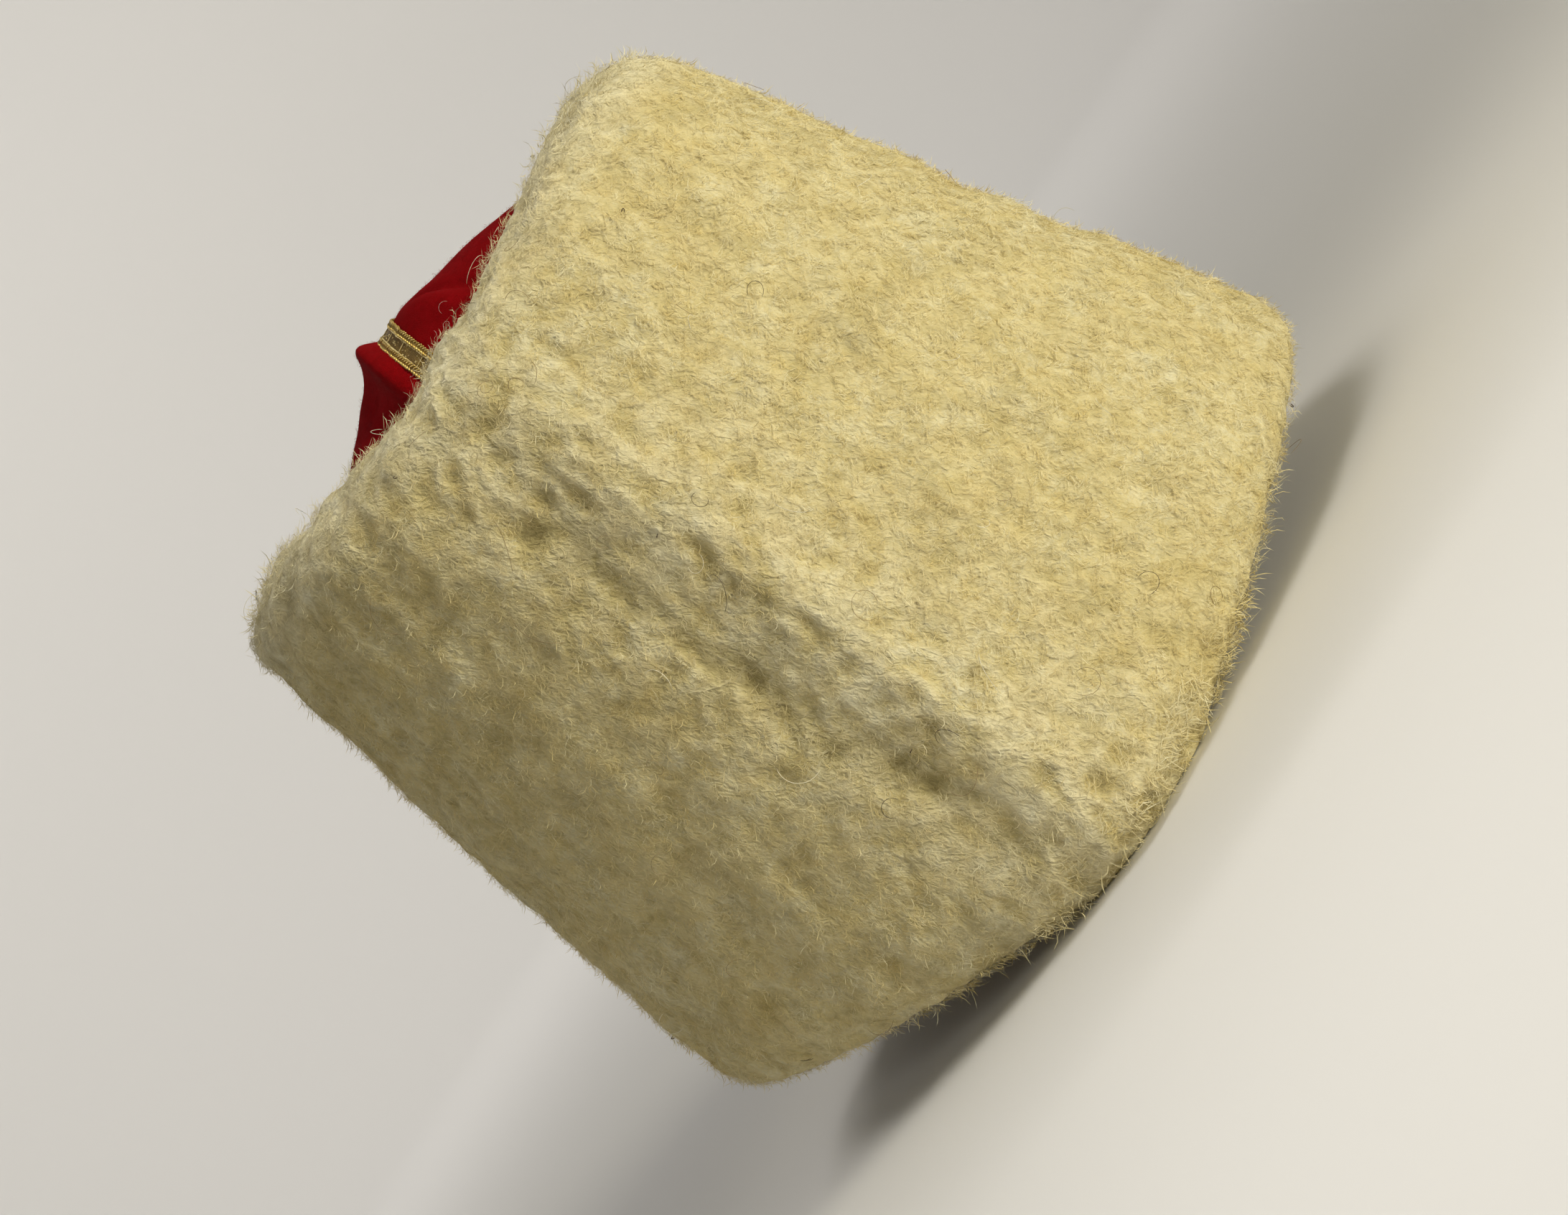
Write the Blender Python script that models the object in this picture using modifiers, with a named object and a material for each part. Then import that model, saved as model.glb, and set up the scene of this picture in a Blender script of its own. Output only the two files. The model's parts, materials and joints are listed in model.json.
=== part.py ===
"""Cossack hat: a tall fleece wall, a red cloth crown and a gold galloon across the crown.

Metres, +Z up. Front is -Y and the wearer's right is -X. The hat stands on its rim, and the origin is
on the surface below the middle of its box. The fleece is creased down each side, so its sections come
to a soft point at +X and -X, and it narrows from the rim to the crown.
"""

import math
import random

import bmesh
import bpy
from mathutils import Vector
from mathutils.bvhtree import BVHTree
from mathutils.kdtree import KDTree

# Outline of the fleece
TOP_HEIGHT = 0.1885        # fleece top at the front and back
SIDE_DIP = 0.0122          # how far the fleece top drops at each side crease
RIM_LENGTH = 0.2290
RIM_WIDTH = 0.1980
CROWN_LENGTH = 0.1650
CROWN_WIDTH = 0.1460
CROWN_SETBACK = 0.0027     # the crown's middle lies behind the rim's
RIM_POWER = 1.26           # exponent of the section's outline: 1 is a kite, 2 an ellipse
CROWN_POWER = 1.66
FRONT_ARCH = 0.0172        # how far the rim lifts at the front
BACK_ARCH = 0.0232         # and at the back
FRONT_REST = 0.026         # the rim lies flat this far forward of each side crease
BACK_REST = 0.018          # and this far behind it
ARCH_POWER = 1.05
BACK_TUCK = 0.0035         # the back of the rim is drawn in by this much
TUCK_POWER = 6             # and how soon the wall above it comes back out

# Wall of the fleece: hide and wool together
WALL_AT_RIM = 0.0155
WALL_AT_TOP = 0.0225
TOP_ROUND = 0.0180         # outer edge of the fleece top
TOP_INNER_ROUND = 0.0050
RIM_ROUND_IN = 0.0085      # outer edge of the rim: how far in, and how far up
RIM_ROUND_UP = 0.0170
RIM_INNER_ROUND = 0.0030

# Locks of wool standing out from the fleece
LOCK_SPACING = 0.0135
LOCK_RADIUS = 0.0101
LOCK_HEIGHT = 0.0026
LOCK_HOLLOW = 0.0010       # how far the gaps between locks sink in
LOCK_SEED = 11
LOCK_LEVELS = 60           # places tried for a lock up the wall, and four for each column

# Along each side crease the wool stands up in a row of tufts, with a dent just behind it
CREASE_TUFTS = [
    # name, distance behind the crease, height, half width
    ("tuft_row", -0.003, 0.0022, 0.007),
    ("dent", 0.010, -0.0028, 0.006),
]
TUFT_REACH = 0.42          # share of the height over which the row stands, each way from the middle

# Crown cloth
CLOTH_THICKNESS = 0.0020
JOIN_DEPTH = 0.0120        # the cloth meets the fleece this far below its top
SKIRT_DEPTH = 0.0120       # turned down inside the fleece
GAP = 0.0004               # between neighbouring pieces
DOME_POWER = 3.0           # how late the cloth falls away towards the sides

# Height of the cloth along the hat's middle line, from front to back
HILL = [
    # y, z
    (-0.028, 0.1875),
    (-0.012, 0.1922),
    (0.000, 0.1947),
    (0.008, 0.1958),
    (0.013, 0.1957),
    (0.017, 0.1938),
    (0.023, 0.1905),
    (0.031, 0.1860),
    (0.045, 0.1805),
]

# Soft folds either side of the galloon
FOLDS = [
    # name, distance behind the galloon in the middle and at the sides, height, half width
    ("front_dip", -0.0150, -0.0270, -0.0007, 0.0055),
    ("front_roll", -0.0080, -0.0170, 0.0011, 0.0055),
    ("galloon_groove", 0.0000, 0.0000, -0.0024, 0.0040),
    ("rear_roll", 0.0062, 0.0062, 0.0024, 0.0034),
    ("rear_tuck", 0.0115, 0.0125, -0.0016, 0.0038),
]

# Galloon: a flat woven band with a raised border along each edge
GALLOON_WIDTH = 0.0064
GALLOON_THICKNESS = 0.0008
GALLOON_BORDER = 0.0017
BORDER_RISE = 0.0003
GALLOON_MIDDLE_Y = 0.0062  # where it crosses the hat's middle
GALLOON_SLANT = 0.040      # it runs a little forward towards the wearer's right
GALLOON_END = 0.0035       # its ends stop this far inside the fleece

# Facets
COLUMNS = 84
WALL_ROWS = 11
INNER_ROWS = 3
RIM_INNER_STEPS = 2
ROUND_STEPS = 4
CLOTH_RINGS = 12
GALLOON_STEPS = 40

COLOURS = {
    # node: base colour, roughness, metallic
    "fleece_wall": ((0.82, 0.75, 0.52), 0.95, 0.0),
    "crown_cloth": ((0.36, 0.010, 0.016), 0.90, 0.0),
    "galloon": ((0.62, 0.43, 0.12), 0.35, 0.9),
}


def lerp(a, b, share):
    return a + (b - a) * share


def clear_scene():
    for obj in list(bpy.data.objects):
        bpy.data.objects.remove(obj)


def angle_of(column):
    return 2 * math.pi * column / COLUMNS


def section_point(angle, share, inset):
    """Point of the section at a share of the wall's height, moved inwards by inset."""
    half_width = lerp(RIM_WIDTH, CROWN_WIDTH, share) / 2 - inset
    half_length = lerp(RIM_LENGTH, CROWN_LENGTH, share) / 2 - inset
    power = lerp(RIM_POWER, CROWN_POWER, share)
    along = math.copysign(abs(math.sin(angle)) ** (2 / power), math.sin(angle))
    if along > 0:
        half_length -= BACK_TUCK * (1 - share) ** TUCK_POWER
    return half_width * math.cos(angle), half_length * along + CROWN_SETBACK * share


def rim_height(angle):
    """The rim lies flat beside each side crease and lifts towards the front and back."""
    away = abs(math.sin(angle)) ** (2 / RIM_POWER) * RIM_LENGTH / 2
    arch, rest = (BACK_ARCH, BACK_REST) if math.sin(angle) > 0 else (FRONT_ARCH, FRONT_REST)
    lift = max(0.0, away - rest) / (RIM_LENGTH / 2 - rest)
    return arch * lift ** ARCH_POWER


def top_height(angle):
    return TOP_HEIGHT - SIDE_DIP * math.cos(angle) ** 2


def inner_inset(share):
    return lerp(WALL_AT_RIM, WALL_AT_TOP, share)


def wall_point(angle, height, inset=None):
    """Point of the wall at a height above the surface. With no inset it is on the inner face."""
    low, high = rim_height(angle), top_height(angle)
    share = (height - low) / (high - low)
    x, y = section_point(angle, share, inner_inset(share) if inset is None else inset)
    return Vector((x, y, height))


def wall_profile():
    """Rows round the wall's section, as functions of the angle that give height and inset.

    They start inside the rim, go under it, up the outer face, over the top and down the inner face.
    The second value says whether locks of wool stand on that row.
    """
    rows = []

    def add(height, inset, wool):
        rows.append((height, inset, wool))

    for step in range(RIM_INNER_STEPS + 1):
        turn = math.pi / 2 * step / RIM_INNER_STEPS
        up = RIM_INNER_ROUND * (1 - math.sin(turn))
        inset = WALL_AT_RIM - RIM_INNER_ROUND * (1 - math.cos(turn))
        add(lambda a, up=up: rim_height(a) + up, inset, False)
    for step in range(ROUND_STEPS + 1):
        turn = math.pi / 2 * step / ROUND_STEPS
        up = RIM_ROUND_UP * (1 - math.cos(turn))
        inset = RIM_ROUND_IN * (1 - math.sin(turn))
        add(lambda a, up=up: rim_height(a) + up, inset, step > 1)
    for step in range(1, WALL_ROWS + 1):
        share = step / (WALL_ROWS + 1)
        add(lambda a, share=share: lerp(rim_height(a) + RIM_ROUND_UP, top_height(a) - TOP_ROUND, share),
            0.0, True)
    for step in range(ROUND_STEPS + 1):
        turn = math.pi / 2 * step / ROUND_STEPS
        down = TOP_ROUND * (1 - math.sin(turn))
        inset = TOP_ROUND * (1 - math.cos(turn))
        add(lambda a, down=down: top_height(a) - down, inset, True)
    half_down = TOP_INNER_ROUND * (1 - math.sqrt(0.5))
    half_inset = TOP_ROUND + (WALL_AT_TOP - TOP_ROUND) * math.sqrt(0.5)
    add(lambda a: top_height(a) - half_down, half_inset, False)
    for down in (TOP_INNER_ROUND, JOIN_DEPTH, JOIN_DEPTH + SKIRT_DEPTH):
        add(lambda a, down=down: top_height(a) - down, None, False)
    for step in range(1, INNER_ROWS + 1):
        share = step / (INNER_ROWS + 1)
        add(lambda a, share=share: lerp(top_height(a) - JOIN_DEPTH - SKIRT_DEPTH,
                                        rim_height(a) + RIM_INNER_ROUND, share), None, False)
    return rows


def scatter_locks(points):
    """Middles of the locks, picked from the wall's points so that they keep their spacing."""
    dice = random.Random(LOCK_SEED)
    dice.shuffle(points)
    middles = []
    for point in points:
        if all((point - other).length > LOCK_SPACING for other in middles):
            middles.append(point)
    tree = KDTree(len(middles))
    for number, middle in enumerate(middles):
        tree.insert(middle, number)
    tree.balance()
    return tree


def lock_relief(tree, point):
    """Height of the wool at a point: round locks, and a row of tufts along each side crease."""
    distance = tree.find(point)[2]
    lock = 1 - min(1.0, distance / LOCK_RADIUS) ** 2
    relief = LOCK_HEIGHT * lock - LOCK_HOLLOW * (1 - lock)
    middle = math.exp(-((TOP_HEIGHT / 2 - point.z) / (TUFT_REACH * TOP_HEIGHT)) ** 4)
    for _name, behind, rise, half_width in CREASE_TUFTS:
        relief += rise * middle * math.exp(-((point.y - behind) / half_width) ** 2)
    return relief


def fine_wall_points():
    """Points all over the outer face, closer together than the locks."""
    points = []
    for column in range(4 * COLUMNS):
        angle = angle_of(column / 4)
        for level in range(1, LOCK_LEVELS):
            height = lerp(rim_height(angle), top_height(angle), level / LOCK_LEVELS)
            points.append(wall_point(angle, height, 0.0))
    return points


def make_fleece():
    bm = bmesh.new()
    rows = wall_profile()
    rings = []
    for height, inset, _wool in rows:
        ring = []
        for column in range(COLUMNS):
            angle = angle_of(column)
            ring.append(bm.verts.new(wall_point(angle, height(angle), inset)))
        rings.append(ring)
    for ring, following in zip(rings, rings[1:] + rings[:1]):
        for column in range(COLUMNS):
            beside = (column + 1) % COLUMNS
            bm.faces.new((ring[column], ring[beside], following[beside], following[column]))
    bmesh.ops.recalc_face_normals(bm, faces=bm.faces)
    bm.normal_update()
    locks = scatter_locks(fine_wall_points())
    moves = []
    for (_height, _inset, wool), ring in zip(rows, rings):
        if wool:
            moves += [(vert, vert.normal * lock_relief(locks, vert.co)) for vert in ring]
    for vert, move in moves:
        vert.co += move
    return finish("fleece_wall", bm)


def hill_height(y, join_front, join_back):
    """Height of the cloth's middle line at y, joined smoothly through the table's points."""
    stops = [join_front] + HILL + [join_back]
    y = min(max(y, stops[0][0]), stops[-1][0])
    place = next(i for i in range(len(stops) - 1) if y <= stops[i + 1][0])
    before, start, end, after = (stops[min(max(place + i, 0), len(stops) - 1)] for i in (-1, 0, 1, 2))
    width = end[0] - start[0]
    slope_start = (end[1] - before[1]) / (end[0] - before[0]) * width
    slope_end = (after[1] - start[1]) / (after[0] - start[0]) * width
    t = (y - start[0]) / width
    return ((2 * t ** 3 - 3 * t ** 2 + 1) * start[1] + (t ** 3 - 2 * t ** 2 + t) * slope_start
            + (3 * t ** 2 - 2 * t ** 3) * end[1] + (t ** 3 - t ** 2) * slope_end)


def galloon_line(x):
    return GALLOON_MIDDLE_Y + GALLOON_SLANT * x


def join_point(angle, depth=JOIN_DEPTH):
    """Point of the cloth just inside the fleece, at a depth below its top."""
    height = top_height(angle) - depth
    low = rim_height(angle)
    share = (height - low) / (top_height(angle) - low)
    x, y = section_point(angle, share, inner_inset(share) + GAP)
    return Vector((x, y, height))


def cloth_height(x, y):
    """Height of the cloth inside its join with the fleece."""
    side, front, back = join_point(0), join_point(-math.pi / 2), join_point(math.pi / 2)
    middle_y = (front.y + back.y) / 2
    half_length = (back.y - front.y) / 2
    power = lerp(RIM_POWER, CROWN_POWER, 1 - JOIN_DEPTH / TOP_HEIGHT)
    along = min(1.0, abs((y - middle_y) / half_length)) ** power
    edge_x = side.x * math.sqrt(1 - along)
    edge_z = TOP_HEIGHT - SIDE_DIP * (1 - along) - JOIN_DEPTH
    across = min(1.0, abs(x) / max(edge_x, 1e-6))
    crest = hill_height(y, (front.y, front.z), (back.y, back.z))
    height = edge_z + (crest - edge_z) * (1 - across ** DOME_POWER)
    outward = min(1.0, along + (x / side.x) ** 2)
    for _name, offset_middle, offset_side, rise, half_width in FOLDS:
        offset = lerp(offset_middle, offset_side, min(1.0, abs(x) / side.x))
        distance = y - galloon_line(x) - offset
        height += rise * (1 - outward ** 4) * math.exp(-(distance / half_width) ** 2)
    return height


def make_crown_cloth():
    bm = bmesh.new()
    middle = Vector((0, (join_point(-math.pi / 2).y + join_point(math.pi / 2).y) / 2, 0))
    middle.z = cloth_height(middle.x, middle.y)
    rings = []
    for step in range(1, CLOTH_RINGS + 1):
        ring = []
        for column in range(COLUMNS):
            edge = join_point(angle_of(column))
            spot = middle.lerp(edge, step / CLOTH_RINGS)
            if step < CLOTH_RINGS:
                spot.z = cloth_height(spot.x, spot.y)
            ring.append(bm.verts.new(spot))
        rings.append(ring)
    for down in (SKIRT_DEPTH / 2, SKIRT_DEPTH):
        rings.append([bm.verts.new(join_point(angle_of(column), JOIN_DEPTH + down))
                      for column in range(COLUMNS)])
    pole = bm.verts.new(middle)
    for column in range(COLUMNS):
        beside = (column + 1) % COLUMNS
        bm.faces.new((pole, rings[0][column], rings[0][beside]))
        for ring, following in zip(rings, rings[1:]):
            bm.faces.new((ring[column], following[column], following[beside], ring[beside]))
    cloth = finish("crown_cloth", bm)
    wall = cloth.modifiers.new("cloth thickness", 'SOLIDIFY')
    wall.thickness = CLOTH_THICKNESS
    wall.offset = -1
    return cloth


def cloth_tree(cloth):
    bm = bmesh.new()
    bm.from_mesh(cloth.data)
    tree = BVHTree.FromBMesh(bm)
    bm.free()
    return tree


def make_galloon(cloth):
    """The band is laid on the cloth's own facets, from one side of the fleece to the other."""
    tree = cloth_tree(cloth)
    down = Vector((0, 0, -1))
    half = GALLOON_WIDTH / 2
    inner = half - GALLOON_BORDER
    across = [(-half, 0.0), (-half + GALLOON_BORDER / 2, BORDER_RISE), (-inner, 0.0), (0.0, 0.0),
              (inner, 0.0), (half - GALLOON_BORDER / 2, BORDER_RISE), (half, 0.0)]
    reach = join_point(0).x - GALLOON_END
    bm = bmesh.new()
    rows = []
    for step in range(GALLOON_STEPS + 1):
        # The steps are closest near the sides, where the band turns down
        x = -reach * math.cos(math.pi * step / GALLOON_STEPS)
        row = []
        for shift, rise in across:
            place = Vector((x, galloon_line(x) + shift, 2 * TOP_HEIGHT))
            hit, normal, _face, _distance = tree.ray_cast(place, down)
            if normal.z < 0:
                normal = -normal
            row.append(bm.verts.new(hit + normal * (GAP + GALLOON_THICKNESS + rise)))
        rows.append(row)
    for row, following in zip(rows, rows[1:]):
        for i in range(len(row) - 1):
            bm.faces.new((row[i], following[i], following[i + 1], row[i + 1]))
    band = finish("galloon", bm)
    wall = band.modifiers.new("band thickness", 'SOLIDIFY')
    wall.thickness = GALLOON_THICKNESS
    wall.offset = -1
    return band


def finish(name, bm):
    """Turns a bmesh into a named object with its own material."""
    mesh = bpy.data.meshes.new(name)
    bm.normal_update()
    bm.to_mesh(mesh)
    bm.free()
    mesh.shade_smooth()
    obj = bpy.data.objects.new(name, mesh)
    bpy.data.collections["cossack_hat"].objects.link(obj)
    colour, roughness, metallic = COLOURS[name]
    material = bpy.data.materials.new(name)
    material.use_nodes = True
    shader = material.node_tree.nodes["Principled BSDF"]
    shader.inputs["Base Color"].default_value = (*colour, 1)
    shader.inputs["Roughness"].default_value = roughness
    shader.inputs["Metallic"].default_value = metallic
    material.diffuse_color = (*colour, 1)
    mesh.materials.append(material)
    return obj


def centre_on_box(parts, outer):
    """Moves the parts so that the origin is under the middle of the outer part's box."""
    corners = [vert.co for vert in outer.data.vertices]
    shift = Vector((0, 0, -min(corner.z for corner in corners)))
    for axis in (0, 1):
        values = [corner[axis] for corner in corners]
        shift[axis] = -(min(values) + max(values)) / 2
    for part in parts:
        for vert in part.data.vertices:
            vert.co += shift


def main():
    clear_scene()
    collection = bpy.data.collections.new("cossack_hat")
    bpy.context.scene.collection.children.link(collection)
    fleece = make_fleece()
    cloth = make_crown_cloth()
    band = make_galloon(cloth)
    centre_on_box([fleece, cloth, band], fleece)


main()
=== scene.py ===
# Cossack hat: a tall cream fleece, a red cloth crown and a gold galloon across it, on a pale floor
import json
import math
import random

import bmesh
import bpy
import numpy as np
from mathutils import Matrix, Vector, noise
from mathutils.bvhtree import BVHTree

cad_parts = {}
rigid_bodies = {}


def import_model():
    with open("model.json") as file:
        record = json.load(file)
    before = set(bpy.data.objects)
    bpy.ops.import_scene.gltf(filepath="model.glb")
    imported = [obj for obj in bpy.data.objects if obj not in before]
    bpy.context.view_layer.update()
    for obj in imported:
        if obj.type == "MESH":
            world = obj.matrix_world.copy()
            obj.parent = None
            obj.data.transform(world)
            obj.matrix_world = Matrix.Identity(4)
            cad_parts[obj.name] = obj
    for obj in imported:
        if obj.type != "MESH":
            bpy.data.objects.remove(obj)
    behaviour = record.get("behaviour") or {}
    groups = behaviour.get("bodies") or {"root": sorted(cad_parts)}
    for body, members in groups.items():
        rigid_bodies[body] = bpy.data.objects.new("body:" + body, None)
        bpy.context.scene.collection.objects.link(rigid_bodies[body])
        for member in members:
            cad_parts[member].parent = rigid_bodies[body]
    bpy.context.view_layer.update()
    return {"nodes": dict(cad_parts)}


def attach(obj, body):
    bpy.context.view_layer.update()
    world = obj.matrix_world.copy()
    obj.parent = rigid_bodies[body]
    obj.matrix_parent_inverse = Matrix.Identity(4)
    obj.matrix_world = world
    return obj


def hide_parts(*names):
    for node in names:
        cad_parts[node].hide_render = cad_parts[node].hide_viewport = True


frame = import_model()
scene = bpy.context.scene
scene.view_settings.view_transform = 'Standard'
noise.seed_set(4)            # without it, noise vectors differ from run to run
print("frame loaded:", ", ".join(sorted(frame["nodes"])))


# Small helpers

def link(tree, start, end):
    tree.links.new(start, end)


# A node with its settings, then its inputs by name or number: a socket is linked, a value is set
def addNode(tree, kind, inputs=None, **settings):
    node = tree.nodes.new(kind)
    for name, value in settings.items():
        setattr(node, name, value)
    for name, value in (inputs or {}).items():
        if isinstance(value, bpy.types.NodeSocket):
            link(tree, value, node.inputs[name])
        else:
            node.inputs[name].default_value = value
    return node


def addMath(tree, operation, *values, clamp=False):
    return addNode(tree, 'ShaderNodeMath', dict(enumerate(values)), operation=operation,
                   use_clamp=clamp).outputs[0]


def addVector(tree, operation, *values, **named):
    node = addNode(tree, 'ShaderNodeVectorMath', dict(enumerate(values)) | named, operation=operation)
    return node.outputs["Value" if operation == 'DOT_PRODUCT' else "Vector"]


# A node group whose inputs and outputs are given as name, kind and value
def newTree(name, kind, inputs, outputs):
    tree = bpy.data.node_groups.new(name, kind)
    for way, sockets in (('INPUT', inputs), ('OUTPUT', outputs)):
        for label, socketKind, *value in sockets:
            socket = tree.interface.new_socket(label, in_out=way, socket_type='NodeSocket' + socketKind)
            if value:
                socket.default_value = value[0]
    return tree, addNode(tree, 'NodeGroupInput').outputs, addNode(tree, 'NodeGroupOutput').inputs


def newMaterial(name, **values):
    material = bpy.data.materials.new(name)
    material.use_nodes = True
    shader = material.node_tree.nodes["Principled BSDF"]
    for label, value in values.items():
        shader.inputs[label.replace("_", " ")].default_value = value
    return material, material.node_tree, shader


def linkObject(obj):
    scene.collection.objects.link(obj)
    return obj


def meshObject(name, mesh, material=None):
    if material:
        mesh.materials.clear()
        mesh.materials.append(material)
    return linkObject(bpy.data.objects.new(name, mesh))


def mergedCopy(nodeName):
    bm = bmesh.new()
    bm.from_mesh(frame["nodes"][nodeName].data)
    bmesh.ops.remove_doubles(bm, verts=bm.verts, dist=0.00002)
    mesh = bpy.data.meshes.new(nodeName + "_copy")
    bm.to_mesh(mesh)
    bm.free()
    mesh.materials.clear()
    return mesh


def evaluatedMesh(obj):
    graph = bpy.context.evaluated_depsgraph_get()
    return bpy.data.meshes.new_from_object(obj.evaluated_get(graph), preserve_all_data_layers=True,
                                           depsgraph=graph)


def subdivided(name, mesh, levels):
    source = meshObject(name + "_source", mesh)
    smooth = source.modifiers.new("smooth", 'SUBSURF')
    smooth.levels = smooth.render_levels = levels
    made = evaluatedMesh(source)
    bpy.data.objects.remove(source)
    made.name = name
    return made


def triangleCount(mesh):
    return sum(len(face.vertices) - 2 for face in mesh.polygons)


def fade(value, low, high):
    share = min(1.0, max(0.0, (value - low) / (high - low)))
    return share * share * (3 - 2 * share)


# Camera: the photograph looks at the wearer's right side, with the hat tipped over in the picture
cameraSet = {
    "place": (-0.5566, -0.0421, 0.1079),
    "azimuth": 275.36,
    "elevation": 2.68,
    "roll": 56.88,
    "lens": 54.08,
}


def makeCamera():
    turn, lift, roll = (math.radians(cameraSet[key]) for key in ("azimuth", "elevation", "roll"))
    back = Vector((math.sin(turn) * math.cos(lift), -math.cos(turn) * math.cos(lift), math.sin(lift)))
    level = (-back).cross(Vector((0, 0, 1))).normalized()
    upright = level.cross(-back)
    across = level * math.cos(roll) - upright * math.sin(roll)
    upward = level * math.sin(roll) + upright * math.cos(roll)
    camera = linkObject(bpy.data.objects.new("camera", bpy.data.cameras.new("camera")))
    camera.data.lens = cameraSet["lens"]
    camera.data.clip_start = 0.01
    camera.data.clip_end = 50
    turned = Matrix((across, upward, back)).transposed().to_4x4()
    camera.matrix_world = Matrix.Translation(cameraSet["place"]) @ turned
    scene.camera = camera


# Pale floor that curves up into a bowl all round, so that no horizon shows
stageSet = {
    "floorRadius": 2.4,
    "rings": (0.0005, 0.15, 0.4, 0.7, 1),      # shares of the floor's radius
    "curve": 1.1,
    "curveSteps": 16,
    "wall": 1.2,
    "steps": 96,
    "colour": (0.86, 0.85, 0.83, 1),
    "roughness": 0.85,
}


def makeStage():
    radius, curve, steps = stageSet["floorRadius"], stageSet["curve"], stageSet["steps"]
    rings = [(radius * share, 0.0) for share in stageSet["rings"]]
    for step in range(1, stageSet["curveSteps"] + 1):
        angle = math.pi / 2 * step / stageSet["curveSteps"]
        rings.append((radius + curve * math.sin(angle), curve * (1 - math.cos(angle))))
    rings.append((rings[-1][0], curve + stageSet["wall"]))
    angles = [2 * math.pi * i / steps for i in range(steps)]
    bm = bmesh.new()
    rows = [[bm.verts.new((away * math.cos(a), away * math.sin(a), height)) for a in angles]
            for away, height in rings]
    for inner, outer in zip(rows, rows[1:]):
        for i in range(steps):
            j = (i + 1) % steps
            bm.faces.new((inner[i], outer[i], outer[j], inner[j]))
    bm.faces.new(rows[0])
    mesh = bpy.data.meshes.new("studio_floor")
    bm.to_mesh(mesh)
    bm.free()
    mesh.shade_smooth()
    material, _, _ = newMaterial("paleFloor", Base_Color=stageSet["colour"], Roughness=stageSet["roughness"])
    meshObject("studio_floor", mesh, material)


# Soft low light from the hat's front right, a lamp for the wall behind, and two weak ones for the floor
lightSet = {
    # name: place, aim, size, power, colour, and the width of its beam in degrees
    "key_light": ((-0.88, -1.24, 0.34), (0, 0, 0.1), (0.40, 0.40), 16.8, (1.0, 0.95, 0.77), 180),
    "floor_fill": ((-0.90, 0.45, 0.75), (-0.45, 0.20, 0), (0.5, 0.5), 0.20, (1.0, 0.97, 0.92), 60),
    "floor_glow": ((-0.30, -0.05, 0.60), (-0.32, -0.05, 0), (0.5, 0.5), 0.40, (1.0, 0.97, 0.92), 50),
    "wall_light": ((1.0, 0.5, 2.3), (3.3, 0.6, 0.4), (1.6, 0.8), 41.6, (1.0, 0.97, 0.93), 180),
}
skyColour = (1.0, 0.98, 0.95)
skyStrength = 0.012


def makeLamp(name, place, aim, size, power, colour, beam):
    lamp = bpy.data.lights.new(name, 'AREA')
    lamp.shape = 'RECTANGLE'
    lamp.size, lamp.size_y = size
    lamp.energy = power
    lamp.spread = math.radians(beam)
    lamp.color = colour
    obj = linkObject(bpy.data.objects.new(name, lamp))
    obj.location = place
    obj.rotation_euler = (Vector(aim) - obj.location).to_track_quat('-Z', 'Y').to_euler()


def makeLights():
    for name, values in lightSet.items():
        makeLamp(name, *values)
    world = bpy.data.worlds.new("studio")
    world.use_nodes = True
    sky = world.node_tree.nodes["Background"]
    sky.inputs["Color"].default_value = (*skyColour, 1)
    sky.inputs["Strength"].default_value = skyStrength
    scene.world = world


# Shared shader groups, all in the object's own coordinates

def colourMix(tree, factor, first, second):
    inputs = {0: factor, 6: first, 7: second}
    for name, value in inputs.items():
        if isinstance(value, tuple):
            inputs[name] = (*value, 1)
    return addNode(tree, 'ShaderNodeMix', inputs, data_type='RGBA').outputs[2]


def objectPlace(tree):
    return addNode(tree, 'ShaderNodeTexCoord').outputs["Object"]


def addNoise(tree, place, scale, **values):
    return addNode(tree, 'ShaderNodeTexNoise', {"Vector": place, "Scale": scale, **values}).outputs["Fac"]


def makeTintedFibre():
    tree, given, result = newTree("tintedFibre", 'ShaderNodeTree', [
        ("Pale", 'Color', (0.9, 0.86, 0.7, 1)),
        ("Middle", 'Color', (0.85, 0.78, 0.55, 1)),
        ("Deep", 'Color', (0.8, 0.7, 0.45, 1)),
        ("Patch Scale", 'Float', 30.0),
        ("Clump Scale", 'Float', 150.0),
        ("Fleck Scale", 'Float', 1500.0),
        ("Contrast", 'Float', 4.0),
        ("Shift", 'Float', 0.0),
    ], [("Color", 'Color')])
    place, total = objectPlace(tree), given["Shift"]
    layers = (("Patch Scale", 0.30, 3.0), ("Clump Scale", 0.40, 3.0), ("Fleck Scale", 0.30, 2.0))
    for label, share, detail in layers:
        layer = addNoise(tree, place, given[label], Detail=detail, Roughness=0.6, Distortion=0.5)
        total = addMath(tree, 'MULTIPLY_ADD', layer, share, total)
    spread = addMath(tree, 'MULTIPLY', addMath(tree, 'SUBTRACT', total, 0.5), given["Contrast"])
    lower = addMath(tree, 'ADD', spread, 1.0, clamp=True)
    upper = addMath(tree, 'ADD', spread, 0.0, clamp=True)
    colour = colourMix(tree, lower, given["Deep"], given["Middle"])
    link(tree, colourMix(tree, upper, colour, given["Pale"]), result["Color"])
    return tree


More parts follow.
